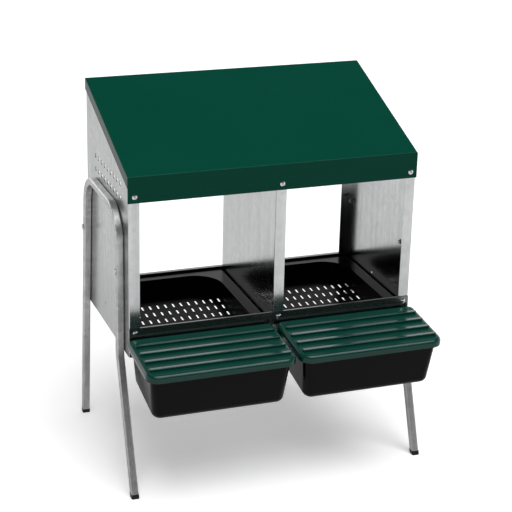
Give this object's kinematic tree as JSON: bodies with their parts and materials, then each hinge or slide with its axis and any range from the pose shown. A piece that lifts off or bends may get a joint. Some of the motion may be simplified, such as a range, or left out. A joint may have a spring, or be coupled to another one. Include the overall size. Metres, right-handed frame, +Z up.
{
  "type": "chicken nesting box",
  "caption": "Raised galvanised nesting box on bent tube legs, with a sloping green roof, slotted nest pans, and roll-out egg boxes under ribbed hinged lids.",
  "frame": {"origin": "centre of the bounding box on the ground", "axes": "+Z up, the front faces -Y, +X to the right seen from the front"},
  "size_m": [0.6376, 0.507, 0.7638],
  "materials": {
    "galvanised": "bright galvanised sheet and tube",
    "roof_green": "dark green coated sheet, satin",
    "black_plastic": "moulded black plastic",
    "green_plastic": "moulded dark green plastic, semi-gloss",
    "zinc": "bright zinc plate"
  },
  "bodies": {
    "stand": {"left_side_panel": "galvanised", "right_side_panel": "galvanised", "centre_divider": "galvanised", "front_rail": "galvanised", "rear_rail": "galvanised", "left_leg_frame": "galvanised", "right_leg_frame": "galvanised", "roof_sheet": "roof_green", "left_front_foot_cap": "black_plastic", "left_rear_foot_cap": "black_plastic", "right_front_foot_cap": "black_plastic", "right_rear_foot_cap": "black_plastic", "leg_bolts": "zinc", "leg_washers": "zinc", "leg_nuts": "zinc", "roof_rivets": "zinc", "rail_rivets": "zinc", "rear_rail_rivets": "zinc"},
    "left_egg_box": {"left_egg_box": "black_plastic", "left_lid_pins": "zinc"},
    "right_egg_box": {"right_egg_box": "black_plastic", "right_lid_pins": "zinc"},
    "left_lid": {"left_lid": "green_plastic"},
    "right_lid": {"right_lid": "green_plastic"},
    "left_nest_pan": {"left_nest_pan": "black_plastic"},
    "right_nest_pan": {"right_nest_pan": "black_plastic"}
  },
  "joints": [
    {"name": "left_pan_lift", "type": "slide", "parent": "stand", "child": "left_nest_pan", "axis": [0, 0, 1], "range_m": [0, 0.12]},
    {"name": "left_box_slide", "type": "slide", "parent": "stand", "child": "left_egg_box", "axis": [0, -1, 0], "range_m": [0, 0.18]},
    {"name": "left_lid_hinge", "type": "hinge", "parent": "left_egg_box", "child": "left_lid", "pos_m": [-0.1557, -0.11048, 0.3111], "axis": [-1, 0, 0], "range_deg": [0, 97]},
    {"name": "right_pan_lift", "type": "slide", "parent": "stand", "child": "right_nest_pan", "axis": [0, 0, 1], "range_m": [0, 0.12]},
    {"name": "right_box_slide", "type": "slide", "parent": "stand", "child": "right_egg_box", "axis": [0, -1, 0], "range_m": [0, 0.18]},
    {"name": "right_lid_hinge", "type": "hinge", "parent": "right_egg_box", "child": "right_lid", "pos_m": [0.1557, -0.11048, 0.3111], "axis": [-1, 0, 0], "range_deg": [0, 97]}
  ]
}
